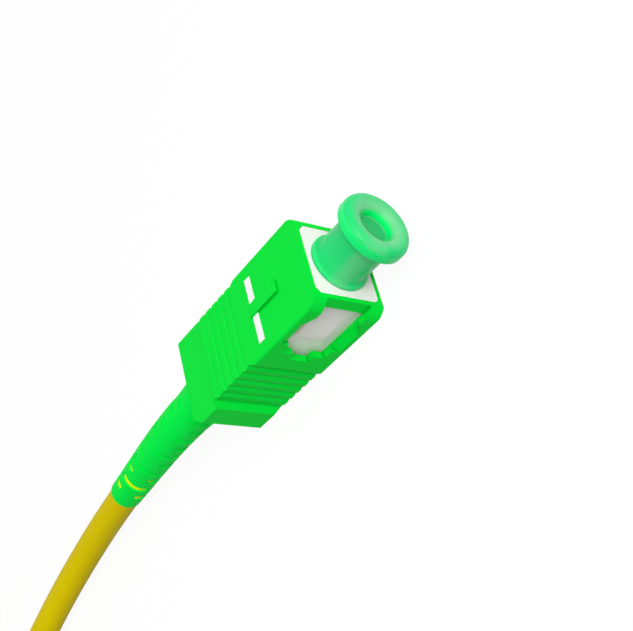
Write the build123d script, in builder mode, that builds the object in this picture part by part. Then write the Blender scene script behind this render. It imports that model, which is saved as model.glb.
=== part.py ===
# Push-pull SC fibre connector with an angled ferrule, a dust cap, a slotted boot and a simplex cable.
# Millimetres. X runs along the connector towards its mating face, Z is up from the surface it lies on,
# and the origin is the middle of the flat underside of the housing's front section.
import os
from math import cos, pi, radians, sin, tan

from build123d import *

os.makedirs("parts", exist_ok=True)

# Outer housing
HOUSING_W = 9.0
HOUSING_H = 7.2
FRONT_LEN = 9.5
HOUSING_LEN = 20.5
LEAD_IN_LEN = 1.25
RIM_W = 7.6
LEAD_IN_BULGE = 0.08
EDGE_R = 0.2
WAIST_W = 8.12
WAIST_SLOPE_LEN = 0.8
RIB_PITCH = 1.1
RIB_H = 0.17
FLANGE_W = 9.2
FLANGE_RAMP_LEN = 0.55
FLANGE_LEN = 3.8
FLANGE_CORNER_LEN = 1.25
FLANGE_CORNER_W = 0.9
NARROW_WALL = 1.11
WIDE_WALL = 0.37
REAR_WALL = 0.37

# Position key and marks on the upper wide face
KEY_W = 1.2
KEY_H = 0.25
KEY_START = 4.1
KEY_END = 8.3
MARK_START = 7.28
MARK_LEN = 0.9
MARK_INNER_Y = 0.55
MARK_OUTER_Y = 3.25
MARK_SINK = 0.02
MARK_GAP = 0.02
KEY_GROOVE_W = 0.3
KEY_GROOVE_DEPTH = 0.08

# Side windows that open the narrow walls to the coupling hooks
WINDOW_START = 1.2
WINDOW_HALF = 2.25
WINDOW_END = 7.25
WINDOW_TAIL_HALF = 1.05
WINDOW_TAIL_END = 8.05
WINDOW_WALL = 0.65
SILL_START = 2.0
SILL_FULL = 3.3
SILL_END = 6.1
SILL_RAIL = 0.6
SILL_LAND = 0.1
POCKET_RAIL = 0.9
POCKET_END = 9.4

# Plug frame
FRAME_LEN = 14.5
FRAME_CHAMFER = 0.45
FRAME_CORNER_R = 0.5
SLIDE_GAP = 0.03
MOUTH_R = 2.5
MOUTH_DEPTH = 6.0
MOUTH_CHAMFER = 0.25
WEB_LEN = 1.4
WEB_HOLE_R = 1.75
SPRING_BORE_R = 2.36
CATCH_START = 2.4
CATCH_TOP = 5.2
CATCH_END = 5.9
CATCH_H = 0.2
CATCH_HALF = 1.5
TAB_WINDOW_W = 2.4
TAB_WINDOW_LEN = 1.5

# Ferrule and its flange
FERRULE_R = 1.25
FERRULE_LEN = 10.0
FERRULE_PROUD = 1.6
FERRULE_TIP_ANGLE = 8.0
FERRULE_TIP_CHAMFER = 0.35
FIBRE_R = 0.0625
FIBRE_GAP = 0.004
COLLAR_R = 2.2
COLLAR_LEN = 1.1
COLLAR_FLATS = 4.0
SEAT_GAP = 0.02
HOLDER_R = 1.55
FLOAT_TRAVEL = 1.0
FLOAT_SPARE = 0.2
HOLDER_BORE_R = 0.6

# Spring
WIRE_R = 0.2
SPRING_R = 1.88
SPRING_PITCH = 0.9

# Rear stop body
STOP_NOSE_LEN = 1.9
STOP_GAP = 0.02
STOP_COLLAR_GAP = 0.16
STOP_COLLAR_LEN = 1.4
NECK_R = 1.42
NECK_LEN = 5.4
NECK_GROOVE_PITCH = 0.6
NECK_GROOVE_DEPTH = 0.1
STOP_BORE_R = 0.8
TAB_H = 0.35
TAB_GAP = 0.1

# Cable and crimp
CABLE_R = 1.6
BUFFER_R = 0.45
YARN_T = 0.1
CRIMP_GAP = 0.02
CRIMP_T = 0.3
CRIMP_START = 0.4
CRIMP_GRIP = 2.4
CRIMP_FLAT = 0.06

# Boot
BOOT_GAP = 0.28
BOOT_ROOT_WALL = 0.56
BOOT_MID_R = 2.18
BOOT_TIP_R = 1.73
BOOT_ROOT_PROUD = 0.1
BOOT_MID = 24.4
BOOT_LEN = 25.7
SLOT_W = 0.75
SLOT_PITCH = 1.77
SLOT_ROWS = 10
SLOT_FROM_TIP = 2.2
SLOT_THROUGH_ROWS = 3
SLOT_HALF_ANGLE = 60.0
GROOVE_DEPTH = 0.13
SLOT_TURN = 40.0

# Dust cap
CAP_TUBE_R = 2.15
CAP_TUBE_LEN = 4.6
CAP_BORE_GAP = 0.02
CAP_BEAD_R = 2.75
CAP_BEAD_LEN = 0.3
CAP_BEAD_BLEND = 0.3
CAP_BODY_R = 2.4
CAP_BODY_LEN = 4.45
CAP_RIM_R = 3.25
CAP_RIM_LEN = 0.65
CAP_RIM_CHAMFER = 0.12
CAP_RIM_ROUND = 0.75
CAP_RECESS_R = 1.42
CAP_RECESS_WALL = 0.1
CAP_BORE_SPARE = 0.9
CAP_SEAT_GAP = 0.03

# Hank of the cable's spare length and its two ties
HANK_FOLD_R = 9.6
HANK_RUN = 22.0
HANK_COLUMNS = 2
HANK_ROWS = 4
HANK_START = 101.75
HANK_Y = -9.9
HANK_CORNER_R = 1.2
TIE_W = 3.0
TIE_T = 0.4
TIE_GAP = 0.1
TIE_HEAD = 1.6
TIE_HEAD_W = 4.2

AXIS_Z = HOUSING_H / 2
FRONT_X = FRONT_LEN / 2
CABLE_D = 2 * CABLE_R
HANK_W = HANK_COLUMNS * CABLE_D
HANK_H = HANK_ROWS * CABLE_D
HANK_Z0 = TIE_T + TIE_GAP
HANK_IN_R = HANK_FOLD_R - CABLE_R
HANK_OUT_R = HANK_IN_R + HANK_W
FRAME_W = HOUSING_W - 2 * (NARROW_WALL + SLIDE_GAP)
FRAME_H = HOUSING_H - 2 * (WIDE_WALL + SLIDE_GAP)
SILL_HALF = HOUSING_H / 2 - SILL_RAIL
SILL_DEPTH = WINDOW_WALL - SILL_LAND
crimp_in = CABLE_R + CRIMP_GAP
crimp_out = crimp_in + CRIMP_T
BOOT_ROOT_R = crimp_out + CRIMP_GAP + BOOT_ROOT_WALL
REAR_HOLE_R = BOOT_ROOT_R + BOOT_GAP
FLANGE_H = 2 * (REAR_HOLE_R + REAR_WALL)
STOP_COLLAR_R = REAR_HOLE_R - STOP_COLLAR_GAP
BOOT_ROOT_END = HOUSING_LEN + BOOT_ROOT_PROUD
JACKET_START = FRAME_LEN + STOP_COLLAR_LEN + NECK_LEN + CRIMP_START


def at(depth, y=0.0, z=AXIS_Z):
    """A point at a depth behind the mating face."""
    return Vector(FRONT_X - depth, y, z)


def across(depth):
    """The plane square to the connector at a depth, with local X along -Y and local Y up."""
    return Plane(origin=at(depth), x_dir=(0, -1, 0), z_dir=(-1, 0, 0))


# The cable's route from the crimp to the hank, as depth behind the mating face, y and z
CABLE_ROUTE = [
    (JACKET_START, 0.0, AXIS_Z),
    (29.2, 0.0, AXIS_Z),
    (44.2, -0.47, 2.26),
    (56.5, -2.46, 1.62),
    (66.5, -5.6, 1.6),
    (75.75, -9.43, 1.6),
    (84.5, -15.3, 1.6),
    (93.5, -20.4, 1.8),
    (102.0, HANK_Y - HANK_OUT_R + CABLE_R, HANK_Z0 + CABLE_R),
]


def route_radii(points):
    """The largest tangent arc at each corner, from 0.45 of the shorter run beside it."""
    radii = []
    for before, corner, after in zip(points, points[1:], points[2:]):
        turn = (corner - before).get_angle(after - corner)
        run = min((corner - before).length, (after - corner).length)
        radii.append(0.45 * run / tan(radians(turn) / 2))
    return radii


cable_points = [at(*point) for point in CABLE_ROUTE]
cable_radii = route_radii(cable_points)
print("cable radii", [round(radius, 1) for radius in cable_radii])

# Depths that the pieces share
flange_start = HOUSING_LEN - FLANGE_LEN
ramp_start = flange_start - FLANGE_RAMP_LEN
rib_start = FRONT_LEN + WAIST_SLOPE_LEN
rib_count = int((ramp_start - rib_start) / RIB_PITCH)
web_back = MOUTH_DEPTH + WEB_LEN
collar_front = web_back + SEAT_GAP
collar_back = collar_front + COLLAR_LEN
ferrule_back = FERRULE_LEN - FERRULE_PROUD
stop_front = FRAME_LEN - STOP_NOSE_LEN
holder_len = stop_front - collar_back - FLOAT_TRAVEL - FLOAT_SPARE
stop_collar_back = FRAME_LEN + STOP_COLLAR_LEN
neck_back = stop_collar_back + NECK_LEN
crimp_front = stop_collar_back + CRIMP_START
crimp_back = JACKET_START + CRIMP_GRIP
boot_front = stop_collar_back + STOP_GAP
tab_front = stop_front + TAB_GAP


# Outer housing: the grip's plan outline raised over its height, with a lower rear flange, hollowed for
# the plug frame and opened by a stepped window in each narrow wall
def plan_side():
    """One side of the plan outline, from the rim back to the flange's ramp."""
    half = HOUSING_W / 2
    waist = WAIST_W / 2
    rim = (FRONT_X, RIM_W / 2)
    shoulder = (FRONT_X - LEAD_IN_LEN, half)
    middle = ((rim[0] + shoulder[0]) / 2 + LEAD_IN_BULGE, (rim[1] + shoulder[1]) / 2 + LEAD_IN_BULGE)
    ThreePointArc(rim, middle, shoulder)
    Line(shoulder, (FRONT_X - FRONT_LEN, half))
    Line((FRONT_X - FRONT_LEN, half), (FRONT_X - rib_start, waist))
    for index in range(rib_count):
        near = FRONT_X - rib_start - index * RIB_PITCH
        ThreePointArc((near, waist), (near - RIB_PITCH / 2, waist + RIB_H), (near - RIB_PITCH, waist))
    Line((FRONT_X - rib_start - rib_count * RIB_PITCH, waist), (FRONT_X - ramp_start, waist))


def frame_section(gap):
    """The plug frame's section, chamfered on the key side and rounded below, grown by a gap."""
    half_w = FRAME_W / 2 + gap
    half_h = FRAME_H / 2 + gap
    Rectangle(2 * half_w, 2 * half_h)
    upper = vertices().group_by(Axis.Y)[-1]
    chamfer(upper, FRAME_CHAMFER)
    lower = vertices().group_by(Axis.Y)[0]
    fillet(lower, FRAME_CORNER_R)


def window_outline():
    """One side window in the plane of the narrow wall: depth along local X, height along local Y."""
    upper = [
        (WINDOW_START, WINDOW_HALF),
        (WINDOW_END, WINDOW_HALF),
        (WINDOW_END, WINDOW_TAIL_HALF),
        (WINDOW_TAIL_END, WINDOW_TAIL_HALF),
    ]
    lower = [(depth, -height) for depth, height in reversed(upper)]
    Polyline(*upper, *lower, close=True)


# Slanted sills: what is cut from the windows' long edges, on both sides and above and below
with BuildPart() as sills:
    with BuildSketch(Plane(origin=at(0, HOUSING_W / 2 - SILL_DEPTH), x_dir=(-1, 0, 0), z_dir=(0, 1, 0))):
        with BuildLine():
            Polyline(
                (SILL_START, WINDOW_HALF),
                (SILL_FULL, SILL_HALF),
                (SILL_END, SILL_HALF),
                (SILL_END, WINDOW_HALF),
                close=True,
            )
        make_face()
    extrude(amount=2 * SILL_DEPTH)
    outer_edge = at(0, HOUSING_W / 2, AXIS_Z + SILL_HALF)
    split(bisect_by=Plane(outer_edge, z_dir=(0, SILL_HALF - WINDOW_HALF, -SILL_DEPTH)), keep=Keep.TOP)
    mirror(about=Plane.XZ)
    mirror(about=Plane.XY.offset(AXIS_Z))

with BuildPart() as outer_housing:
    with BuildSketch(Plane.XY) as plan:
        with BuildLine():
            plan_side()
            mirror(about=Plane.XZ)
            Line((FRONT_X, -RIM_W / 2), (FRONT_X, RIM_W / 2))
            Line((FRONT_X - ramp_start, -WAIST_W / 2), (FRONT_X - ramp_start, WAIST_W / 2))
        make_face()
    extrude(amount=HOUSING_H)
    long_edges = outer_housing.edges().filter_by(Axis.X).filter_by(
        lambda edge: abs(edge.length - (FRONT_LEN - LEAD_IN_LEN)) < 0.01
    )
    fillet(long_edges, EDGE_R)
    # Rear flange, wider and lower than the waist, with a ramp on all four sides and one cut corner
    with BuildSketch(across(ramp_start)):
        Rectangle(WAIST_W, HOUSING_H)
    with BuildSketch(across(flange_start)):
        Rectangle(FLANGE_W, FLANGE_H)
    loft()
    with BuildSketch(across(flange_start)):
        Rectangle(FLANGE_W, FLANGE_H)
    extrude(amount=FLANGE_LEN)
    with BuildSketch(Plane.XY):
        with BuildLine():
            Polyline(
                (FRONT_X - HOUSING_LEN, FLANGE_CORNER_W - FLANGE_W / 2),
                (FRONT_X - HOUSING_LEN, -FLANGE_W / 2),
                (FRONT_X - HOUSING_LEN + FLANGE_CORNER_LEN, -FLANGE_W / 2),
                close=True,
            )
        make_face()
    extrude(amount=HOUSING_H, mode=Mode.SUBTRACT)
    # Raised key
    with BuildSketch(Plane.XZ.offset(-KEY_W / 2)):
        with BuildLine():
            Polyline(
                (FRONT_X - KEY_START, HOUSING_H - KEY_H),
                (FRONT_X - KEY_START, HOUSING_H + KEY_H),
                (FRONT_X - KEY_END + KEY_H, HOUSING_H + KEY_H),
                (FRONT_X - KEY_END, HOUSING_H),
                (FRONT_X - KEY_END, HOUSING_H - KEY_H),
                close=True,
            )
        make_face()
    extrude(amount=KEY_W)
    # Shallow grooves across both wide faces, in line with the rib crests
    for index in range(rib_count):
        depth = rib_start + (index + 0.5) * RIB_PITCH
        for face_z, turn in ((HOUSING_H, 1), (0.0, -1)):
            with BuildSketch(Plane.XZ.offset(-FLANGE_W / 2)):
                with BuildLine():
                    Polyline(
                        (FRONT_X - depth - KEY_GROOVE_W / 2, face_z + turn * KEY_GROOVE_DEPTH),
                        (FRONT_X - depth - KEY_GROOVE_W / 2, face_z),
                        (FRONT_X - depth, face_z - turn * KEY_GROOVE_DEPTH),
                        (FRONT_X - depth + KEY_GROOVE_W / 2, face_z),
                        (FRONT_X - depth + KEY_GROOVE_W / 2, face_z + turn * KEY_GROOVE_DEPTH),
                        close=True,
                    )
                make_face()
            extrude(amount=FLANGE_W, mode=Mode.SUBTRACT)
    # Cavity for the plug frame and the rear hole for the boot
    with BuildSketch(across(0)):
        frame_section(SLIDE_GAP)
    extrude(amount=FRAME_LEN + SLIDE_GAP, mode=Mode.SUBTRACT)
    with BuildSketch(across(FRAME_LEN)):
        Circle(REAR_HOLE_R)
    extrude(amount=HOUSING_LEN, mode=Mode.SUBTRACT)
    # Windows with the hook channel in front of them, the thinner wall round them and their slanted sills
    for side in (1, -1):
        wall = Plane(origin=at(0), x_dir=(-1, 0, 0), z_dir=(0, side, 0))
        with BuildSketch(wall):
            with BuildLine():
                window_outline()
            make_face()
        extrude(amount=HOUSING_W, mode=Mode.SUBTRACT)
        with BuildSketch(wall.offset(RIM_W / 2)):
            with Locations((WINDOW_START / 2, 0)):
                Rectangle(2 * WINDOW_START, 2 * WINDOW_HALF)
        extrude(amount=HOUSING_W, mode=Mode.SUBTRACT)
        with BuildSketch(wall):
            with Locations(((WINDOW_START + POCKET_END) / 2, 0)):
                Rectangle(POCKET_END - WINDOW_START, HOUSING_H - 2 * POCKET_RAIL)
        extrude(amount=HOUSING_W / 2 - WINDOW_WALL, mode=Mode.SUBTRACT)
    add(sills.part, mode=Mode.SUBTRACT)
    # Openings for the two position marks
    with BuildSketch(Plane.XY.offset(HOUSING_H - MARK_SINK - KEY_H)):
        for side in (1, -1):
            with Locations((FRONT_X - MARK_START - MARK_LEN / 2, side * (MARK_INNER_Y + MARK_OUTER_Y) / 2)):
                Rectangle(MARK_LEN, MARK_OUTER_Y - MARK_INNER_Y)
    extrude(amount=2 * KEY_H + MARK_SINK, mode=Mode.SUBTRACT)
outer_housing.part.label = "outer_housing"

# Position marks: two white bars let into the key face
with BuildPart() as position_marks:
    with BuildSketch(Plane.XY.offset(HOUSING_H - MARK_SINK - KEY_H + MARK_GAP)):
        for side in (1, -1):
            with Locations((FRONT_X - MARK_START - MARK_LEN / 2, side * (MARK_INNER_Y + MARK_OUTER_Y) / 2)):
                Rectangle(MARK_LEN - 2 * MARK_GAP, MARK_OUTER_Y - MARK_INNER_Y - 2 * MARK_GAP)
    extrude(amount=KEY_H - MARK_GAP)
position_marks.part.label = "position_marks"

# Plug frame: a hollow bar with a mouth for the mating sleeve, a web that the ferrule's collar seats on,
# a bore for the spring and a ramped catch on each narrow side
with BuildPart() as plug_frame:
    with BuildSketch(across(0)):
        frame_section(0.0)
    extrude(amount=FRAME_LEN)
    for side in (1, -1):
        with BuildSketch(Plane.XY.offset(AXIS_Z - CATCH_HALF)):
            with BuildLine():
                Polyline(
                    (FRONT_X - CATCH_START, side * FRAME_W / 2),
                    (FRONT_X - CATCH_TOP, side * (FRAME_W / 2 + CATCH_H)),
                    (FRONT_X - CATCH_END, side * (FRAME_W / 2 + CATCH_H)),
                    (FRONT_X - CATCH_END, side * FRAME_W / 2),
                    (FRONT_X - CATCH_END, side * (FRAME_W / 2 - CATCH_H)),
                    (FRONT_X - CATCH_START, side * (FRAME_W / 2 - CATCH_H)),
                    close=True,
                )
            make_face()
        extrude(amount=2 * CATCH_HALF)
    with BuildSketch(Plane(origin=at(0), x_dir=(-1, 0, 0), z_dir=(0, -1, 0))):
        with BuildLine():
            Polyline(
                (0, 0),
                (0, MOUTH_R + MOUTH_CHAMFER),
                (MOUTH_CHAMFER, MOUTH_R),
                (MOUTH_DEPTH, MOUTH_R),
                (MOUTH_DEPTH, WEB_HOLE_R),
                (web_back, WEB_HOLE_R),
                (web_back, SPRING_BORE_R),
                (FRAME_LEN, SPRING_BORE_R),
                (FRAME_LEN, 0),
                close=True,
            )
        make_face()
    revolve(axis=Axis(at(0), (1, 0, 0)), mode=Mode.SUBTRACT)
    with BuildSketch(Plane.XY.offset(AXIS_Z - FRAME_H)):
        with Locations((FRONT_X - tab_front - TAB_WINDOW_LEN / 2, 0)):
            Rectangle(TAB_WINDOW_LEN, TAB_WINDOW_W)
    extrude(amount=2 * FRAME_H, mode=Mode.SUBTRACT)
plug_frame.part.label = "plug_frame"

# Ferrule: a ceramic rod with an angled polished tip and a fibre hole through it
with BuildPart() as ferrule:
    with BuildSketch(Plane(origin=at(0), x_dir=(-1, 0, 0), z_dir=(0, -1, 0))):
        with BuildLine():
            Polyline(
                (-FERRULE_PROUD, FIBRE_R + FIBRE_GAP),
                (-FERRULE_PROUD, FERRULE_R - FERRULE_TIP_CHAMFER),
                (-FERRULE_PROUD + FERRULE_TIP_CHAMFER, FERRULE_R),
                (ferrule_back, FERRULE_R),
                (ferrule_back, FIBRE_R + FIBRE_GAP),
                close=True,
            )
        make_face()
    revolve(axis=Axis(at(0), (1, 0, 0)))
    tip_plane = Plane(
        origin=at(-FERRULE_PROUD),
        z_dir=(cos(radians(FERRULE_TIP_ANGLE)), 0, sin(radians(FERRULE_TIP_ANGLE))),
    )
    split(bisect_by=tip_plane, keep=Keep.BOTTOM)
ferrule.part.label = "ferrule"

# Optical fibre bonded in the ferrule's hole
with BuildPart() as optical_fibre:
    with BuildSketch(across(-FERRULE_PROUD)):
        Circle(FIBRE_R)
    extrude(amount=FERRULE_LEN)
    split(bisect_by=tip_plane, keep=Keep.BOTTOM)
optical_fibre.part.label = "optical_fibre"

# Ferrule holder: the pressed-on metal collar with flats that key it in the frame and a tail in the spring
with BuildPart() as ferrule_holder:
    with BuildSketch(across(collar_front)):
        Circle(COLLAR_R)
        Rectangle(COLLAR_FLATS, COLLAR_FLATS, mode=Mode.INTERSECT)
    extrude(amount=COLLAR_LEN)
    with BuildSketch(across(collar_front)):
        Circle(HOLDER_R)
    extrude(amount=COLLAR_LEN + holder_len)
    with BuildSketch(across(collar_front)):
        Circle(FERRULE_R)
    extrude(amount=ferrule_back - collar_front, mode=Mode.SUBTRACT)
    with BuildSketch(across(collar_front)):
        Circle(HOLDER_BORE_R)
    extrude(amount=COLLAR_LEN + holder_len, mode=Mode.SUBTRACT)
ferrule_holder.part.label = "ferrule_holder"

# Spring: a helix of round wire between the collar and the stop body
spring_room = stop_front - collar_back
spring_len = spring_room - 2 * (WIRE_R + SEAT_GAP)
with BuildPart() as spring:
    with BuildLine() as coil_line:
        first_turn = at(collar_back + WIRE_R + SEAT_GAP)
        Helix(SPRING_PITCH, spring_len, SPRING_R, center=first_turn, direction=(-1, 0, 0))
    with BuildSketch(Plane(coil_line.line @ 0, z_dir=coil_line.line % 0)):
        Circle(WIRE_R)
    sweep()
spring.part.label = "spring"

# Stop body: the nose snaps into the frame, the collar closes it and the grooved neck takes the yarn
neck_grooves = int((NECK_LEN - NECK_GROOVE_PITCH) / NECK_GROOVE_PITCH)
with BuildPart() as stop_body:
    with BuildSketch(Plane(origin=at(0), x_dir=(-1, 0, 0), z_dir=(0, -1, 0))):
        with BuildLine():
            Polyline(
                (stop_front, STOP_BORE_R),
                (stop_front, SPRING_BORE_R - STOP_GAP),
                (FRAME_LEN + STOP_GAP, SPRING_BORE_R - STOP_GAP),
                (FRAME_LEN + STOP_GAP, STOP_COLLAR_R),
                (stop_collar_back, STOP_COLLAR_R),
                (stop_collar_back, NECK_R),
                (neck_back, NECK_R),
                (neck_back, STOP_BORE_R),
                close=True,
            )
        make_face()
    revolve(axis=Axis(at(0), (1, 0, 0)))
    with BuildSketch(Plane(origin=at(0), x_dir=(-1, 0, 0), z_dir=(0, -1, 0))):
        for index in range(neck_grooves):
            start = stop_collar_back + (index + 1) * NECK_GROOVE_PITCH
            with BuildLine():
                Polyline(
                    (start - NECK_GROOVE_DEPTH, NECK_R + NECK_GROOVE_DEPTH),
                    (start - NECK_GROOVE_DEPTH, NECK_R),
                    (start, NECK_R - NECK_GROOVE_DEPTH),
                    (start + NECK_GROOVE_DEPTH, NECK_R),
                    (start + NECK_GROOVE_DEPTH, NECK_R + NECK_GROOVE_DEPTH),
                    close=True,
                )
            make_face()
    revolve(axis=Axis(at(0), (1, 0, 0)), mode=Mode.SUBTRACT)
    tab_len = TAB_WINDOW_LEN - 2 * TAB_GAP
    tab_reach = SPRING_BORE_R + TAB_H
    for side in (1, -1):
        with BuildSketch(Plane.XZ.offset(-TAB_WINDOW_W / 2 + TAB_GAP)):
            with BuildLine():
                Polyline(
                    (FRONT_X - tab_front - TAB_GAP, AXIS_Z + side * SPRING_BORE_R / 2),
                    (FRONT_X - tab_front - TAB_GAP, AXIS_Z + side * SPRING_BORE_R),
                    (FRONT_X - tab_front - TAB_GAP - tab_len, AXIS_Z + side * tab_reach),
                    (FRONT_X - tab_front - TAB_GAP - tab_len, AXIS_Z + side * SPRING_BORE_R / 2),
                    close=True,
                )
            make_face()
        extrude(amount=TAB_WINDOW_W - 2 * TAB_GAP)
stop_body.part.label = "stop_body"

# Aramid yarn: the strength members laid back over the neck under the crimp
with BuildPart() as aramid_yarn:
    with BuildSketch(across(crimp_front)):
        Circle(crimp_in - CRIMP_GAP)
        Circle(crimp_in - CRIMP_GAP - YARN_T, mode=Mode.SUBTRACT)
    extrude(amount=JACKET_START - crimp_front)
aramid_yarn.part.label = "aramid_yarn"

# Crimp sleeve: a thin tube pressed into six flats over the neck and the jacket's end
with BuildPart() as crimp_sleeve:
    with BuildSketch(across(crimp_front)):
        Circle(crimp_out)
        RegularPolygon(crimp_out - CRIMP_FLAT, 6, major_radius=False, mode=Mode.INTERSECT)
        Circle(crimp_in, mode=Mode.SUBTRACT)
    extrude(amount=crimp_back - crimp_front)
crimp_sleeve.part.label = "crimp_sleeve"

# Tight buffer: the coated fibre between the ferrule holder and the jacket
buffer_front = collar_back + holder_len / 2
with BuildPart() as tight_buffer:
    with BuildSketch(across(buffer_front)):
        Circle(BUFFER_R)
    extrude(amount=JACKET_START - buffer_front)
tight_buffer.part.label = "tight_buffer"

# Boot: a tapered sleeve that follows the cable's first bend, grooved in alternate directions, with the
# rows next to its tip cut through to the cable
corner = cable_points[1]
bend_dir = (cable_points[2] - corner).normalized()
bend_turn = Vector(-1, 0, 0).get_angle(bend_dir)
bend_tangent = cable_radii[0] * tan(radians(bend_turn) / 2)
bend_arc = cable_radii[0] * radians(bend_turn)
straight_len = (corner - at(boot_front)).length - bend_tangent
tip_run = BOOT_LEN - straight_len - bend_arc
boot_tip = corner + bend_dir * (bend_tangent + tip_run)


def boot_radius(length):
    """Outer radius of the boot at a length from its front end."""
    root_len = BOOT_ROOT_END - boot_front
    mid_len = BOOT_MID - boot_front
    if length < root_len:
        return BOOT_ROOT_R
    if length < mid_len:
        share = (length - root_len) / (mid_len - root_len)
        return BOOT_ROOT_R + share * (BOOT_MID_R - BOOT_ROOT_R)
    share = (length - mid_len) / (BOOT_LEN - mid_len)
    return BOOT_MID_R + share * (BOOT_TIP_R - BOOT_MID_R)


with BuildPart() as boot:
    with BuildLine() as boot_line:
        FilletPolyline(at(boot_front), corner, boot_tip, radius=cable_radii[0])
    boot_path = boot_line.wires()[0]

    def boot_plane(length):
        """The plane square to the boot's centre line at a length from its front end."""
        share = length / BOOT_LEN
        return Plane(origin=boot_path @ share, x_dir=(0, -1, 0), z_dir=boot_path % share)

    stations = [0.0, BOOT_ROOT_END - boot_front, BOOT_MID - boot_front]
    bent_len = BOOT_LEN - stations[-1]
    stations += [stations[-1] + bent_len * share for share in (0.25, 0.5, 0.75, 1.0)]
    with BuildSketch(boot_plane(stations[0]), boot_plane(stations[1])):
        Circle(BOOT_ROOT_R)
    loft()
    with BuildSketch(boot_plane(stations[1])):
        Circle(BOOT_ROOT_R)
    with BuildSketch(boot_plane(stations[2])):
        Circle(BOOT_MID_R)
    loft()
    for station in stations[2:]:
        with BuildSketch(boot_plane(station)):
            Circle(boot_radius(station))
    loft()
    # Grooves in pairs, each row turned a quarter from the next
    for row in range(SLOT_ROWS):
        length = BOOT_LEN - SLOT_FROM_TIP - row * SLOT_PITCH
        radius = boot_radius(length)
        reach = radius * cos(radians(SLOT_HALF_ANGLE))
        turn = SLOT_TURN + 90 * ((row + 1) % 2)
        with BuildSketch(boot_plane(length - SLOT_W / 2)):
            for side in (1, -1):
                offset = side * (reach + radius)
                with Locations((offset * cos(radians(turn)), offset * sin(radians(turn)))):
                    Rectangle(2 * radius, 4 * radius, rotation=turn)
            if row >= SLOT_THROUGH_ROWS:
                Circle(radius - GROOVE_DEPTH, mode=Mode.SUBTRACT)
        extrude(amount=SLOT_W, mode=Mode.SUBTRACT)
    # Socket over the crimp and the bore for the cable
    with BuildSketch(across(boot_front)):
        Circle(crimp_out + CRIMP_GAP)
    extrude(amount=crimp_back + CRIMP_GAP - boot_front, mode=Mode.SUBTRACT)
    with BuildSketch(boot_plane(0.0)):
        Circle(CABLE_R + CRIMP_GAP)
    sweep(path=boot_path, mode=Mode.SUBTRACT)
boot.part.label = "boot"

# Dust cap: a soft tube over the ferrule with a bead at the frame and a rounded pull rim with a recess
with BuildPart() as dust_cap:
    cap_bore = FERRULE_R + CAP_BORE_GAP
    rim_start = CAP_BODY_LEN
    round_x = rim_start + CAP_RIM_LEN
    ring_r = CAP_RIM_R - CAP_RIM_ROUND
    with BuildSketch(Plane(origin=at(0), x_dir=(1, 0, 0), z_dir=(0, -1, 0))):
        with BuildLine():
            Polyline(
                (-CAP_TUBE_LEN, cap_bore),
                (-CAP_TUBE_LEN, CAP_TUBE_R),
                (CAP_SEAT_GAP, CAP_TUBE_R),
                (CAP_SEAT_GAP, CAP_BEAD_R),
                (CAP_BEAD_LEN, CAP_BEAD_R),
            )
            bead_end = (CAP_BEAD_LEN + CAP_BEAD_BLEND, CAP_BODY_R)
            Spline((CAP_BEAD_LEN, CAP_BEAD_R), bead_end, tangents=[(1, 0), (1, 0)])
            Polyline(
                bead_end,
                (rim_start, CAP_BODY_R),
                (rim_start, CAP_RIM_R - CAP_RIM_CHAMFER),
                (rim_start + CAP_RIM_CHAMFER, CAP_RIM_R),
                (round_x, CAP_RIM_R),
            )
            rim_arc = RadiusArc((round_x, CAP_RIM_R), (round_x + CAP_RIM_ROUND, ring_r), CAP_RIM_ROUND)
            lip = ring_r - CAP_RECESS_R
            lip_end = (round_x + CAP_RIM_ROUND - lip, CAP_RECESS_R)
            RadiusArc(rim_arc @ 1, lip_end, lip)
            floor_x = lip_end[0] - CAP_RECESS_WALL
            Polyline(
                lip_end,
                (floor_x, CAP_RECESS_R),
                (floor_x, 0),
                (FERRULE_PROUD + CAP_BORE_SPARE, 0),
                (FERRULE_PROUD + CAP_BORE_SPARE, cap_bore),
                (-CAP_TUBE_LEN, cap_bore),
            )
        make_face()
    revolve(axis=Axis(at(0), (1, 0, 0)))
dust_cap.part.label = "dust_cap"

# Hank: the outer shape of the folded spare length
hank_middle = at(HANK_START + HANK_RUN / 2, HANK_Y, HANK_Z0)
with BuildPart() as cable_hank:
    with BuildSketch(Plane(hank_middle)):
        SlotCenterToCenter(HANK_RUN, 2 * HANK_OUT_R)
        SlotCenterToCenter(HANK_RUN, 2 * HANK_IN_R, mode=Mode.SUBTRACT)
    extrude(amount=HANK_H)
    rims = cable_hank.edges().filter_by(Plane.XY)
    fillet(rims, HANK_CORNER_R)
cable_hank.part.label = "cable_hank"

# Cable: the jacketed stretch from the crimp to the hank
with BuildPart() as cable:
    with BuildLine() as cable_line:
        FilletPolyline(*cable_points, radius=cable_radii)
    cable_path = cable_line.wires()[0]
    with BuildSketch(Plane(origin=cable_path @ 0, z_dir=cable_path % 0)):
        Circle(CABLE_R)
    sweep(path=cable_path)
    cable_share = cable.part.volume / (pi * CABLE_R**2 * cable_path.length)
    print("cable length", round(cable_path.length, 1), "volume share", round(cable_share, 4))
    add(cable_hank.part, mode=Mode.SUBTRACT)
cable.part.label = "cable"


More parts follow.
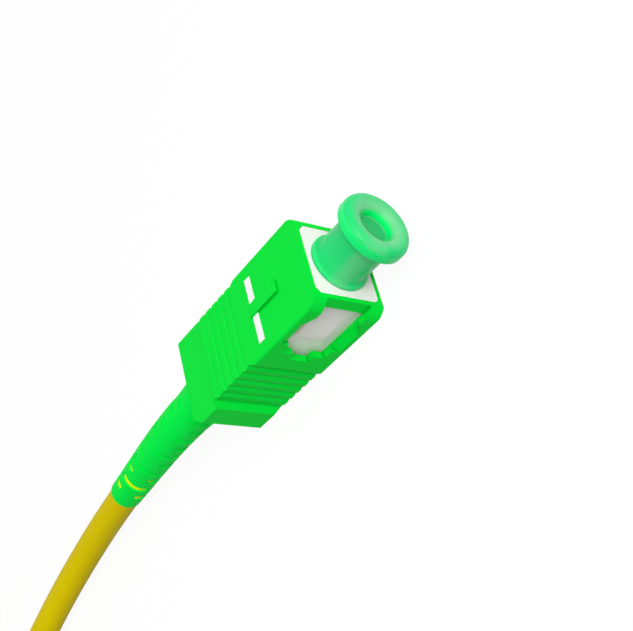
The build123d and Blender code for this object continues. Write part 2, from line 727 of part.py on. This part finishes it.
# Ties: a flat strap with a locking head round each run of the hank
def hank_tie(side):
    """One strap round the run on a side, with its head inside the hank."""
    middle = hank_middle + Vector(0, side * (HANK_IN_R + HANK_W / 2), HANK_H / 2)
    inner_w = HANK_W + 2 * TIE_GAP
    inner_h = HANK_H + 2 * TIE_GAP
    with BuildPart() as tie:
        with BuildSketch(Plane(origin=middle, x_dir=(0, side, 0), z_dir=(1, 0, 0))):
            RectangleRounded(inner_w + 2 * TIE_T, inner_h + 2 * TIE_T, HANK_CORNER_R + TIE_T)
            RectangleRounded(inner_w, inner_h, HANK_CORNER_R, mode=Mode.SUBTRACT)
        extrude(amount=TIE_W / 2, both=True)
        with BuildSketch(Plane(origin=middle, x_dir=(0, side, 0), z_dir=(1, 0, 0))):
            with Locations((-inner_w / 2 - TIE_T - TIE_HEAD / 2, 0)):
                Rectangle(TIE_HEAD, 2 * TIE_HEAD)
        extrude(amount=TIE_HEAD_W / 2, both=True)
    return tie.part


tie_parts = [hank_tie(side) for side in (1, -1)]
for index, tie_part in enumerate(tie_parts):
    tie_part.label = f"hank_tie_{index + 1}"

pieces = [
    outer_housing.part,
    position_marks.part,
    plug_frame.part,
    ferrule.part,
    optical_fibre.part,
    ferrule_holder.part,
    spring.part,
    stop_body.part,
    aramid_yarn.part,
    crimp_sleeve.part,
    tight_buffer.part,
    boot.part,
    dust_cap.part,
    cable.part,
    cable_hank.part,
    *tie_parts,
]
for piece in pieces:
    export_step(piece, f"parts/{piece.label}.step")
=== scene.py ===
from math import cos, pi, sin

import bpy
from bpy.props import FloatProperty, FloatVectorProperty, IntProperty, PointerProperty
from bpy.types import Operator, Panel, PropertyGroup
from mathutils import Matrix, Vector


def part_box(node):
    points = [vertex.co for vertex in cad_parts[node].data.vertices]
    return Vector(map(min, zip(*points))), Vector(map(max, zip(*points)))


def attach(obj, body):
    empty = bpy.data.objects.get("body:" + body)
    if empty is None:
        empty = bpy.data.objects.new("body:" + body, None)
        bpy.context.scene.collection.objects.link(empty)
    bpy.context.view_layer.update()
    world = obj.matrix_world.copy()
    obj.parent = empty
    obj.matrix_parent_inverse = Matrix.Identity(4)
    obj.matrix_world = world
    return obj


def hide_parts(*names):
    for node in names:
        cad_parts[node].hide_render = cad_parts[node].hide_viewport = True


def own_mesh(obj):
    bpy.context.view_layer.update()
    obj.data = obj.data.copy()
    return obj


bl_info = {
    "name": "Fibre connector dresser",
    "version": (1, 0, 0),
    "blender": (4, 5, 0),
    "location": "View3D > Sidebar > Connector",
    "description": "Finishes a push-pull fibre connector: mouldings, dust cap, boot, cable and its hank",
    "category": "Object",
}

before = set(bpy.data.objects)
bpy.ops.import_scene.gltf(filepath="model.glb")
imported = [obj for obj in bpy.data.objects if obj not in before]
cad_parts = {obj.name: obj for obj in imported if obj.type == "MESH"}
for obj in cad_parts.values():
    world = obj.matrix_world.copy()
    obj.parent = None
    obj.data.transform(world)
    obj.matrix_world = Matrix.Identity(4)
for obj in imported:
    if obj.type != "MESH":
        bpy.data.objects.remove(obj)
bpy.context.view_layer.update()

MM = 0.001
WHITE = (1, 1, 1, 1)
# A Mix node's colour sockets by number, because its sockets share their names
FACTOR, FIRST, SECOND, MIXED = 0, 6, 7, 2

# A mould's spark-eroded face scatters its gloss, so little of the white studio veils the colour
MATT = {"Specular IOR Level": 0.05}
# Flow clouds in a resin: their width, how deep their colour is, and how far they shift the roughness
CLOUD_WIDTH = 2.5 * MM
CLOUD_TONE = 0.94
CLOUD_ROUGHNESS = 0.04
# Most of a noise texture's values lie between these
NOISE_LOW, NOISE_HIGH = 0.3, 0.7
# Reach of a crease's painted shade, and how open the crease is where that shade is full and where it ends
CREASE_REACH = 0.3 * MM
CREASE_SHUT, CREASE_OPEN = 0.45, 0.97
# Height of a mould's grain, and how strongly it shows
GRAIN_HEIGHT = 0.02 * MM
GRAIN_STRENGTH = 0.12
# Radians that the wave texture goes through in a metre at a scale of 1
WAVE_RADIANS = 20
# Roughness that the tool's lines add to a metal
LINE_ROUGHNESS = 0.1

# The camera fitted to the photograph: its place in millimetres, its axes, the nearest and furthest
# that it sees in metres, and its sensor's width in millimetres
CAMERA_PLACE = (59.987, -50.607, 59.031)
CAMERA_RIGHT = (0.5531, -0.2355, -0.7991)
CAMERA_UP = (0.5459, 0.8270, 0.1341)
CAMERA_FORWARD = (-0.6293, 0.5104, -0.5860)
CAMERA_NEAR, CAMERA_FAR = 0.002, 5
SENSOR_WIDTH = 36
# Half the paper's width in metres, and how far it lies below the connector, so that their faces stay apart
PAPER_HALF = 3.0
PAPER_DROP = 0.02 * MM
# A soft box overhead, one in front of the mating end and a stronger one behind and above the camera:
# each has its name, its place, aim and width in millimetres, and its power in watts
LAMPS = (
    ("overhead", (-10, 30, 420), (-15, 0, 0), 300, 0.33),
    ("mating_end", (420, 20, 130), (-5, 0, 3), 260, 0.44),
    ("fill", (265, -168, 277), (-18, 0, 2), 260, 1.36),
)

# The cable's route from the crimp to the hank, as x, y and z in millimetres
ROUTE = [
    (-16.95, 0.0, 3.6),
    (-24.45, 0.0, 3.6),
    (-39.45, -0.47, 2.26),
    (-51.75, -2.46, 1.62),
    (-61.75, -5.6, 1.6),
    (-71.0, -9.43, 1.6),
    (-79.75, -15.3, 1.6),
    (-88.75, -20.4, 1.8),
    (-97.25, -22.7, 2.1),
]
# Middle of the hank's near fold, and the column and row that each turn lies in
NEAR_FOLD = (-97.0, -9.9)
TURNS = [(1, 0), (0, 0), (0, 1), (1, 1), (1, 2), (0, 2), (0, 3), (1, 3)]
TIES = ("hank_tie_1", "hank_tie_2")
# Fineness of the cable's line and of its round section
LINE_STEPS = 8
RING_STEPS = 7
# Distances inside the boot's tip between which the jacket's colour changes to the painted boot light, in
# millimetres
BOOT_LIGHT_START, BOOT_LIGHT_END = -0.1, 0.5
# Radii of the yarn and of the buffer at the cut end, and half the width of their edges, in millimetres
YARN_RADIUS, BUFFER_RADIUS, CORE_EDGE = 1.0, 0.45, 0.03

# Side of the cap that its painted highlight streak is on, the cosine at the streak's edge, and how much
# paler it is
HIGHLIGHT_SIDE = (0, -0.927, 0.375)
HIGHLIGHT_EDGE = 0.9
HIGHLIGHT_SHARE = 0.5
# Each zone of the cap's painted light and shade, a glow in the rim, a pale reflection on the lip and shade
# on the recess floor:
# its colour setting, then the radii and the distances behind the front between which it fades in, in
# millimetres
CAP_ZONES = (
    ("cap_rim_glow", (2.85, 3.05), (0.42, 0.58)),
    ("cap_sheen", (2.9, 1.9), (0.9, 0.3)),
    ("cap_rim_glow", (1.85, 1.6), (0.4, 0.7)),
    ("cap_sheen", (1.5, 1.44), (1.08, 1.14)),
    ("cap_floor_shade", (1.40, 1.34), (1.1, 1.17)),
)
# Width of the clouds in the cap's gloss, and the roughness that they move between
CAP_CLOUD_WIDTH = 3.0 * MM
CAP_SMOOTH, CAP_ROUGH = 0.27, 0.33


def srgb(hex_colour):
    """Linear colour from an sRGB hex value."""
    parts = [int(hex_colour[i:i + 2], 16) / 255 for i in (1, 3, 5)]
    return tuple(c / 12.92 if c <= 0.04045 else ((c + 0.055) / 1.055) ** 2.4 for c in parts)


def colour(label, hex_colour, note):
    """A colour setting whose default is an sRGB hex value."""
    return FloatVectorProperty(
        name=label, description=note, subtype="COLOR", size=3, min=0, max=1, default=srgb(hex_colour)
    )


def length(label, metres, note):
    """A length setting in metres."""
    return FloatProperty(name=label, description=note, default=metres, min=0, unit="LENGTH", precision=5)


def portion(label, default, note):
    """A setting from none to all."""
    return FloatProperty(name=label, description=note, default=default, min=0, max=1, subtype="FACTOR")


class ConnectorMouldings(PropertyGroup):
    housing: colour("Housing", "#00E63D", "Coloured resin of the grip")
    white: colour("Plug frame", "#FCF6F5", "White resin of the plug frame")
    marks: colour("Position marks", "#FAFBF9", "White resin of the marks let into the grip")
    boot: colour("Boot", "#00F54C", "Elastomer of the strain-relief boot")
    cap: colour("Dust cap", "#1CD67A", "Milky tinted polyethylene of the dust cap")
    # Painted light and shade on the cap: a glow in the rim, a pale reflection on the front lip and its
    # streak, and shade on the recess floor
    cap_rim_glow: colour("Cap rim", "#00EC7C", "The same where light gathers in the cap's rim")
    cap_sheen: colour("Cap lip", "#76D496", "The same on the frosted front lip")
    cap_floor_shade: colour("Cap recess", "#2FB56E", "The same on the recess's floor, over the hollow bore")
    grain: length("Mould grain", 0.12 * MM, "Spacing of the mould's spark-eroded grain")


class ConnectorCable(PropertyGroup):
    jacket: colour("Jacket", "#DCC600", "Extruded jacket")
    # Painted light: a brighter lime that stands in for the green light in the boot's slots
    boot_light_tint: colour("Jacket under the boot", "#F0FF00", "The same where the boot covers it")
    yarn: colour("Yarn", "#E3C25A", "Aramid strength members")
    buffer: colour("Buffer", "#F6F4F0", "Coating of the fibre")
    tie: colour("Ties", "#ECEAE2", "Natural nylon of the hank's ties")
    diameter: length("Diameter", 3.2 * MM, "Outside diameter of the jacket")
    total: length("Length", 0.96, "Cable length from the crimp to its bare end")
    fold_radius: length("Fold radius", 9.6 * MM, "Radius of the hank's inner folds")
    run: length("Hank run", 22.0 * MM, "Length between the middles of the hank's folds")
    fold_points: IntProperty(
        name="Points per fold", description="Route points in each fold", default=12, min=6
    )


class ConnectorStage(PropertyGroup):
    floor: colour("Floor", "#B4B4B4", "Paper that the connector lies on")
    lens: length("Lens", 63.98 * MM, "Focal length on a 36 mm wide sensor")
    sky: FloatProperty(name="Sky", description="Soft light from all round", default=0.32, min=0)
    slant: portion("Slant", 0.8, "How much of that light comes from the far side")
    shadow: portion("Shadow", 0.08, "Share of the paper's own shading that is seen")


def place(tree, kind, inputs=None, **settings):
    """Adds a node with its settings, socket values and links."""
    made = tree.nodes.new(kind)
    for key, value in settings.items():
        setattr(made, key, value)
    for key, value in (inputs or {}).items():
        socket = made.inputs[key]
        if isinstance(value, bpy.types.NodeSocket):
            tree.links.new(value, socket)
        else:
            socket.default_value = value
    return made


def blank(name):
    """An empty material and its node tree."""
    material = bpy.data.materials.new(name)
    material.use_nodes = True
    material.node_tree.nodes.clear()
    return material, material.node_tree


def moulded(name, tint, grain, roughness, crease_shade=1.0, drawn=(1, 1, 1), **sockets):
    """Moulded or drawn resin: even colour with faint flow clouding and a fine grain.

    Creases can get painted shade, which keeps the given share of the colour there, and drawn
    stretches the pattern along an axis that has a small value.
    """
    material, tree = blank(name)
    local = place(tree, "ShaderNodeTexCoord").outputs["Object"]
    where = place(tree, "ShaderNodeMapping", {"Vector": local, "Scale": drawn}).outputs["Vector"]
    # Clouds where the melt flowed and cooled unevenly
    cloud = place(tree, "ShaderNodeTexNoise", {"Vector": where, "Scale": 1 / CLOUD_WIDTH, "Detail": 2.0})
    deeper = tuple(c * CLOUD_TONE for c in tint)
    base = place(
        tree, "ShaderNodeMix",
        {FACTOR: cloud.outputs["Fac"], FIRST: (*deeper, 1), SECOND: (*tint, 1)},
        data_type="RGBA",
    )
    if crease_shade < 1:
        # Painted shade: creases and slots are darkened where the part shuts them in nearby
        crease = place(
            tree, "ShaderNodeAmbientOcclusion", {"Distance": CREASE_REACH}, samples=16, only_local=True
        )
        unshaded_share = place(
            tree, "ShaderNodeMapRange",
            {"Value": crease.outputs["AO"], "From Min": CREASE_SHUT, "From Max": CREASE_OPEN},
        )
        crease_shade_tint = tuple(c * crease_shade for c in tint)
        base = place(
            tree, "ShaderNodeMix",
            {FACTOR: unshaded_share.outputs["Result"], FIRST: (*crease_shade_tint, 1), SECOND: base.outputs[MIXED]},
            data_type="RGBA",
        )
    rough = place(
        tree, "ShaderNodeMapRange",
        {
            "Value": cloud.outputs["Fac"], "From Min": NOISE_LOW, "From Max": NOISE_HIGH,
            "To Min": roughness - CLOUD_ROUGHNESS, "To Max": roughness + CLOUD_ROUGHNESS,
        },
    )
    # Grain of the tool's spark-eroded face, drawn a little coarser than life so that it shows
    pits = place(tree, "ShaderNodeTexNoise", {"Vector": where, "Scale": 1 / grain, "Detail": 1.0})
    relief = place(
        tree, "ShaderNodeBump",
        {"Height": pits.outputs["Fac"], "Strength": GRAIN_STRENGTH, "Distance": GRAIN_HEIGHT},
    )
    shader = place(
        tree, "ShaderNodeBsdfPrincipled",
        {
            "Base Color": base.outputs[MIXED], "Roughness": rough.outputs["Result"],
            "Normal": relief.outputs["Normal"], **sockets,
        },
    )
    place(tree, "ShaderNodeOutputMaterial", {"Surface": shader.outputs["BSDF"]})
    return material


def metal(name, tint, roughness, line_spacing):
    """Turned or drawn metal: fine lines round the part that break up the shine."""
    material, tree = blank(name)
    where = place(tree, "ShaderNodeTexCoord").outputs["Object"]
    # The tool's lines, drawn about six times coarser than life so that they show
    lines = place(
        tree, "ShaderNodeTexWave",
        {"Vector": where, "Scale": 1 / (WAVE_RADIANS * line_spacing), "Distortion": 1.5},
        bands_direction="X",
    )
    rough = place(
        tree, "ShaderNodeMapRange",
        {"Value": lines.outputs["Fac"], "To Min": roughness, "To Max": roughness + LINE_ROUGHNESS},
    )
    shader = place(
        tree, "ShaderNodeBsdfPrincipled",
        {"Base Color": (*tint, 1), "Metallic": 1.0, "Roughness": rough.outputs["Result"]},
    )
    place(tree, "ShaderNodeOutputMaterial", {"Surface": shader.outputs["BSDF"]})
    return material


def dress(material, *nodes):
    """Gives CAD nodes a finish."""
    for name in nodes:
        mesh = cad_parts[name].data
        mesh.materials.clear()
        mesh.materials.append(material)


class CONNECTOR_OT_stage(Operator):
    """Lay the paper, light it softly and set the camera"""

    bl_idname = "connector.stage"
    bl_label = "Stage"

    def shown(self, tree):
        """One for the rays that show the backdrop: those of the camera, and through gloss and glass."""
        seen = place(tree, "ShaderNodeLightPath")
        gloss = place(
            tree, "ShaderNodeMath",
            {0: seen.outputs["Is Glossy Ray"], 1: seen.outputs["Is Transmission Ray"]},
            operation="MAXIMUM",
        )
        rays = place(
            tree, "ShaderNodeMath",
            {0: seen.outputs["Is Camera Ray"], 1: gloss.outputs[0]},
            operation="MAXIMUM",
        )
        return rays.outputs[0]

    def set_camera(self, scene, stage):
        """Camera at the photograph's view."""
        lens = bpy.data.cameras.new("camera")
        lens.sensor_width = SENSOR_WIDTH
        lens.lens = stage.lens / MM
        lens.clip_start = CAMERA_NEAR
        lens.clip_end = CAMERA_FAR
        eye = bpy.data.objects.new("camera", lens)
        axes = Matrix((CAMERA_RIGHT, CAMERA_UP, -Vector(CAMERA_FORWARD))).transposed()
        eye.matrix_world = Matrix.Translation(Vector(CAMERA_PLACE) * MM) @ axes.to_4x4()
        scene.collection.objects.link(eye)
        scene.camera = eye

    def lay_paper(self, scene, stage):
        """Paper under the connector."""
        # Seamless white paper: the camera, gloss and glass see it near white, and the soft shadow stays
        paper, tree = blank("Matt white paper")
        shown = self.shown(tree)
        tone = place(
            tree, "ShaderNodeMix", {FACTOR: shown, FIRST: (*stage.floor, 1), SECOND: WHITE}, data_type="RGBA"
        )
        matt = place(tree, "ShaderNodeBsdfDiffuse", {"Color": tone.outputs[MIXED]})
        lit = place(tree, "ShaderNodeEmission", {"Color": WHITE, "Strength": 1.0})
        share = place(tree, "ShaderNodeMapRange", {"Value": shown, "To Max": 1 - stage.shadow})
        mixed = place(
            tree, "ShaderNodeMixShader",
            {0: share.outputs["Result"], 1: matt.outputs["BSDF"], 2: lit.outputs["Emission"]},
        )
        place(tree, "ShaderNodeOutputMaterial", {"Surface": mixed.outputs["Shader"]})
        corners = [(x * PAPER_HALF, y * PAPER_HALF, 0) for x, y in ((-1, -1), (1, -1), (1, 1), (-1, 1))]
        sheet = bpy.data.meshes.new("paper")
        sheet.from_pydata(corners, [], [(0, 1, 2, 3)])
        sheet.materials.append(paper)
        floor = bpy.data.objects.new("paper", sheet)
        floor.location.z = -PAPER_DROP
        scene.collection.objects.link(floor)

    def light(self, scene, stage):
        """White backdrop, soft light from all round that is stronger from the far side, and soft boxes."""
        world = bpy.data.worlds.new("studio")
        world.use_nodes = True
        tree = world.node_tree
        tree.nodes.clear()
        towards = place(tree, "ShaderNodeTexCoord").outputs["Generated"]
        across = place(tree, "ShaderNodeSeparateXYZ", {"Vector": towards})
        soft = place(
            tree, "ShaderNodeMapRange",
            {
                "Value": across.outputs["Y"], "From Min": -1.0, "From Max": 1.0,
                "To Min": stage.sky * (1 - stage.slant), "To Max": stage.sky * (1 + stage.slant),
            },
        )
        # The backdrop shows at a strength of 1, which is white
        level = place(
            tree, "ShaderNodeMapRange",
            {"Value": self.shown(tree), "To Min": soft.outputs["Result"], "To Max": 1.0},
        )
        sky = place(tree, "ShaderNodeBackground", {"Color": WHITE, "Strength": level.outputs["Result"]})
        place(tree, "ShaderNodeOutputWorld", {"Surface": sky.outputs["Background"]})
        scene.world = world
        for name, spot, aim, width, power in LAMPS:
            lamp = bpy.data.lights.new(name, "AREA")
            lamp.size = width * MM
            lamp.energy = power
            holder = bpy.data.objects.new(name, lamp)
            holder.location = Vector(spot) * MM
            holder.rotation_euler = (Vector(aim) - Vector(spot)).to_track_quat("-Z", "Y").to_euler()
            scene.collection.objects.link(holder)

    def execute(self, context):
        scene = context.scene
        stage = scene.connector_stage
        scene.view_settings.view_transform = "Standard"
        self.set_camera(scene, stage)
        self.lay_paper(scene, stage)
        self.light(scene, stage)
        return {"FINISHED"}


class CONNECTOR_OT_cable(Operator):
    """Run the cable out of the boot and fold its spare length into a hank"""

    bl_idname = "connector.cable"
    bl_label = "Cable and hank"

    def route(self, cable):
        """Route points in metres, with the hank's turns laid row by row."""
        points = [Vector(point) * MM for point in ROUTE]
        floor_row = points[-1].z
        near = Vector((*NEAR_FOLD, 0)) * MM
        far = near - Vector((cable.run, 0, 0))
        half = cable.fold_points
        step = pi / half
        # The points stand a little outside each fold, so that the spline keeps the fold's radius
        reach = 1 / cos(step / 2)
        for turn, (column, row) in enumerate(TURNS):
            last = turn + 1 == len(TURNS)
            after = (column, row) if last else TURNS[turn + 1]
            # The far fold comes first, then the near one, whose first half crosses to the next turn's place
            for index in range(half if last else 2 * half):
                at_near = index >= half
                share = min(1.0, 2 * (index - half + 1) / half) if at_near else 0.0
                radius = cable.fold_radius + cable.diameter * (column + share * (after[0] - column))
                height = floor_row + cable.diameter * (row + share * (after[1] - row))
                angle = -pi / 2 - (index + 0.5) * step
                spoke = Vector((cos(angle), sin(angle), 0)) * radius * reach
                points.append((near if at_near else far) + spoke + Vector((0, 0, height)))
        # The last turn has no near fold: its cut end lies on the run, short of where the turn below crosses
        points.append(near + Vector((-cable.diameter / 2, radius, height)))
        return points

    def jacket(self, cable, boot_tip, cut_end):
        """The jacket's finish, with painted boot light under the boot and the core at its cut end."""
        # Filled jacket compound is dull and slightly chalky, in a deep warm yellow
        jacket = moulded(
            "Low-smoke jacket, extruded", cable.jacket, grain=0.2 * MM, roughness=0.5, **MATT
        )
        tree = jacket.node_tree
        shader = tree.nodes["Principled BSDF"]
        yellow = shader.inputs["Base Color"].links[0].from_socket
        where = place(tree, "ShaderNodeTexCoord").outputs["Object"]
        along = place(tree, "ShaderNodeSeparateXYZ", {"Vector": where})
        # Painted light: under the boot the jacket is painted a brighter lime, standing in for the green
        # light in the boot's slots
        under = place(
            tree, "ShaderNodeMapRange",
            {
                "Value": along.outputs["X"],
                "From Min": boot_tip + BOOT_LIGHT_START * MM, "From Max": boot_tip + BOOT_LIGHT_END * MM,
            },
        )
        base = place(
            tree, "ShaderNodeMix",
            {FACTOR: under.outputs["Result"], FIRST: yellow, SECOND: (*cable.boot_light_tint, 1)},
            data_type="RGBA",
        )
        # The cut end shows the yarn as a ring round the white buffer
        reach = place(tree, "ShaderNodeVectorMath", {0: where, 1: cut_end}, operation="DISTANCE")
        for tint, radius in ((cable.yarn, YARN_RADIUS), (cable.buffer, BUFFER_RADIUS)):
            core = place(
                tree, "ShaderNodeMapRange",
                {
                    "Value": reach.outputs["Value"],
                    "From Min": (radius + CORE_EDGE) * MM, "From Max": (radius - CORE_EDGE) * MM,
                },
            )
            base = place(
                tree, "ShaderNodeMix",
                {FACTOR: core.outputs["Result"], FIRST: base.outputs[MIXED], SECOND: (*tint, 1)},
                data_type="RGBA",
            )
        tree.links.new(base.outputs[MIXED], shader.inputs["Base Color"])
        return jacket

    def execute(self, context):
        cable = context.scene.connector_cable
        boot_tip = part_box("boot")[0].x
        points = self.route(cable)
        curve = bpy.data.curves.new("cable_run", "CURVE")
        curve.dimensions = "3D"
        curve.resolution_u = LINE_STEPS
        curve.bevel_depth = cable.diameter / 2
        curve.bevel_resolution = RING_STEPS
        curve.use_fill_caps = True
        line = curve.splines.new("NURBS")
        line.points.add(len(points) - 1)
        for point, spot in zip(line.points, points):
            point.co = (*spot, 1)
        line.order_u = 3
        line.use_endpoint_u = True
        curve.materials.append(self.jacket(cable, boot_tip, points[-1]))
        run = bpy.data.objects.new("cable_run", curve)
        context.scene.collection.objects.link(run)
        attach(run, "plug")
        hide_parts("cable", "cable_hank")
        # Natural nylon is milky, with a soft gloss
        dress(moulded("Nylon tie, moulded", cable.tie, grain=0.3 * MM, roughness=0.35), *TIES)
        return {"FINISHED"}


class CONNECTOR_OT_housing(Operator):
    """Finish the grip and its position marks"""

    bl_idname = "connector.housing"
    bl_label = "Grip"

    def execute(self, context):
        look = context.scene.connector_mouldings
        # Filled PBT from a spark-eroded tool: an even, strong colour with a satin face, and painted shade
        # darkens its creases
        green = moulded(
            "PBT, injection moulded", look.housing, look.grain, roughness=0.5, crease_shade=0.5, **MATT
        )
        dress(green, "outer_housing")
        # The marks are a bright, clean white against the green
        white = moulded("White PBT, moulded in", look.marks, look.grain, roughness=0.5, **MATT)
        dress(white, "position_marks")
        return {"FINISHED"}


class CONNECTOR_OT_plug(Operator):
    """Finish the plug frame, the ferrule and what is behind it"""

    bl_idname = "connector.plug"
    bl_label = "Plug and ferrule"

    def execute(self, context):
        look = context.scene.connector_mouldings
        cable = context.scene.connector_cable
        # The same resin in white: clean, satin and a touch warm
        white = moulded("White PBT, injection moulded", look.white, look.grain, roughness=0.5, **MATT)
        dress(white, "plug_frame")
        # The buffer is a smooth white skin on the fibre, softer and a little glossier than the frame
        skin = moulded("Polyester elastomer, extruded", cable.buffer, grain=0.2 * MM, roughness=0.4)
        dress(skin, "tight_buffer")
        # Zirconia is ivory white, polished nearly to a mirror, and its high index gives bright glints
        ceramic = moulded(
            "Zirconia, ground and polished", srgb("#F4F1E8"), grain=0.4 * MM, roughness=0.12, IOR=2.1
        )
        dress(ceramic, "ferrule")
        # Silica fibre is clear, with a sharp bright line along it
        glass, tree = blank("Fused silica, drawn")
        clear = place(
            tree, "ShaderNodeBsdfPrincipled",
            {
                "Base Color": (*srgb("#F3F9FC"), 1), "Transmission Weight": 1.0,
                "IOR": 1.458, "Roughness": 0.03,
            },
        )
        place(tree, "ShaderNodeOutputMaterial", {"Surface": clear.outputs["BSDF"]})
        dress(glass, "optical_fibre")
        # Turned stainless steel is a cool grey, its shine broken by the tool's lines
        steel = metal("Stainless steel, turned", srgb("#BDBBB6"), roughness=0.26, line_spacing=0.08 * MM)
        dress(steel, "ferrule_holder", "spring")
        # The coil becomes an object of its own that rides on the plug, with its own copy of the spring's
        # mesh
        coil = bpy.data.objects.new("spring_coil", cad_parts["spring"].data.copy())
        context.scene.collection.objects.link(coil)
        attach(coil, "plug")
        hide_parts("spring")
        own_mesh(coil)
        # Bright nickel over turned brass is paler and a little warm
        nickel = metal(
            "Nickel plate on turned brass", srgb("#C9C4B4"), roughness=0.22, line_spacing=0.1 * MM
        )
        dress(nickel, "stop_body")
        # Pressed aluminium is pale, with a softer shine
        pale = metal("Aluminium, pressed", srgb("#CFD0D2"), roughness=0.32, line_spacing=0.15 * MM)
        dress(pale, "crimp_sleeve")
        # Aramid yarn is golden and dull, with its fibres lying along the cable
        yarn = moulded(
            "Aramid yarn, laid", cable.yarn, grain=0.15 * MM, roughness=0.7, drawn=(0.05, 1, 1)
        )
        dress(yarn, "aramid_yarn")
        return {"FINISHED"}


class CONNECTOR_OT_boot(Operator):
    """Finish the strain-relief boot"""

    bl_idname = "connector.boot"
    bl_label = "Boot"

    def execute(self, context):
        look = context.scene.connector_mouldings
        # Soft elastomer is as strong a green as the grip, but duller and a little bluer, and painted shade
        # darkens its slots a little
        green = moulded(
            "Thermoplastic elastomer, moulded", look.boot, look.grain, roughness=0.55, crease_shade=0.8, **MATT
        )
        dress(green, "boot")
        return {"FINISHED"}


class CONNECTOR_OT_cap(Operator):
    """Finish the dust cap"""

    bl_idname = "connector.cap"
    bl_label = "Dust cap"

    def execute(self, context):
        look = context.scene.connector_mouldings
        low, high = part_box("dust_cap")
        # Soft polyethylene scatters light inside and gives milky walls; the rim's glow, the front lip's pale
        # reflection and the recess floor's shade are painted
        material, tree = blank("Polyethylene, moulded")
        where = place(tree, "ShaderNodeTexCoord").outputs["Object"]
        along = place(tree, "ShaderNodeSeparateXYZ", {"Vector": where})
        axis = ((low + high) / 2).yz
        spoke = place(tree, "ShaderNodeVectorMath", {0: where, 1: (0, *axis)}, operation="SUBTRACT")
        flat = place(
            tree, "ShaderNodeVectorMath", {0: spoke.outputs[0], 1: (0, 1, 1)}, operation="MULTIPLY"
        )
        out = place(tree, "ShaderNodeVectorMath", {0: flat.outputs[0]}, operation="LENGTH")
        # Painted highlight: a pale streak along the wall, about 1.5 mm wide, in the cap's pale sheen colour
        facing = place(
            tree, "ShaderNodeVectorMath", {0: spoke.outputs[0], 1: HIGHLIGHT_SIDE}, operation="DOT_PRODUCT"
        )
        turn = place(
            tree, "ShaderNodeMath",
            {0: facing.outputs["Value"], 1: out.outputs["Value"]},
            operation="DIVIDE",
        )
        highlight_streak = place(
            tree, "ShaderNodeMapRange",
            {"Value": turn.outputs[0], "From Min": HIGHLIGHT_EDGE, "From Max": 1.0, "To Max": HIGHLIGHT_SHARE},
            interpolation_type="SMOOTHSTEP",
        )
        base = place(
            tree, "ShaderNodeMix",
            {FACTOR: highlight_streak.outputs["Result"], FIRST: (*look.cap, 1), SECOND: (*look.cap_sheen, 1)},
            data_type="RGBA",
        )
        for setting, radii, depths in CAP_ZONES:
            across = place(
                tree, "ShaderNodeMapRange",
                {"Value": out.outputs["Value"], "From Min": radii[0] * MM, "From Max": radii[1] * MM},
            )
            back = place(
                tree, "ShaderNodeMapRange",
                {
                    "Value": along.outputs["X"],
                    "From Min": high.x - depths[0] * MM, "From Max": high.x - depths[1] * MM,
                },
            )
            zone = place(
                tree, "ShaderNodeMath",
                {0: across.outputs["Result"], 1: back.outputs["Result"]},
                operation="MULTIPLY",
            )
            tint = (*getattr(look, setting), 1)
            base = place(
                tree, "ShaderNodeMix",
                {FACTOR: zone.outputs[0], FIRST: base.outputs[MIXED], SECOND: tint},
                data_type="RGBA",
            )
        cloud = place(
            tree, "ShaderNodeTexNoise", {"Vector": where, "Scale": 1 / CAP_CLOUD_WIDTH, "Detail": 1.0}
        )
        rough = place(
            tree, "ShaderNodeMapRange",
            {"Value": cloud.outputs["Fac"], "To Min": CAP_SMOOTH, "To Max": CAP_ROUGH},
        )
        shader = place(
            tree, "ShaderNodeBsdfPrincipled",
            {
                "Base Color": base.outputs[MIXED], "Roughness": rough.outputs["Result"], "IOR": 1.51,
                "Specular IOR Level": 0.2, "Subsurface Weight": 1.0,
                "Subsurface Radius": (0.4, 1.0, 0.7), "Subsurface Scale": 0.35 * MM,
            },
        )
        place(tree, "ShaderNodeOutputMaterial", {"Surface": shader.outputs["BSDF"]})
        dress(material, "dust_cap")
        return {"FINISHED"}


class CONNECTOR_PT_sidebar(Panel):
    """Lists the connector's pieces and their settings"""

    bl_idname = "CONNECTOR_PT_sidebar"
    bl_label = "Fibre connector"
    bl_space_type = "VIEW_3D"
    bl_region_type = "UI"
    bl_category = "Connector"

    def draw(self, context):
        for name, group in GROUPS.items():
            box = self.layout.box()
            for key in group.__annotations__:
                box.prop(getattr(context.scene, name), key)
        for piece in PIECES:
            self.layout.operator(piece.bl_idname)


GROUPS = {
    "connector_mouldings": ConnectorMouldings,
    "connector_cable": ConnectorCable,
    "connector_stage": ConnectorStage,
}
PIECES = (
    CONNECTOR_OT_stage,
    CONNECTOR_OT_cable,
    CONNECTOR_OT_housing,
    CONNECTOR_OT_plug,
    CONNECTOR_OT_boot,
    CONNECTOR_OT_cap,
)


def register():
    for name, group in GROUPS.items():
        bpy.utils.register_class(group)
        setattr(bpy.types.Scene, name, PointerProperty(type=group))
    for piece in PIECES:
        bpy.utils.register_class(piece)
    bpy.utils.register_class(CONNECTOR_PT_sidebar)


def unregister():
    bpy.utils.unregister_class(CONNECTOR_PT_sidebar)
    for piece in reversed(PIECES):
        bpy.utils.unregister_class(piece)
    for name, group in GROUPS.items():
        delattr(bpy.types.Scene, name)
        bpy.utils.unregister_class(group)


def main():
    register()
    bpy.ops.connector.stage()
    bpy.ops.connector.cable()
    bpy.ops.connector.housing()
    bpy.ops.connector.plug()
    bpy.ops.connector.boot()
    bpy.ops.connector.cap()


if __name__ == "__main__":
    main()
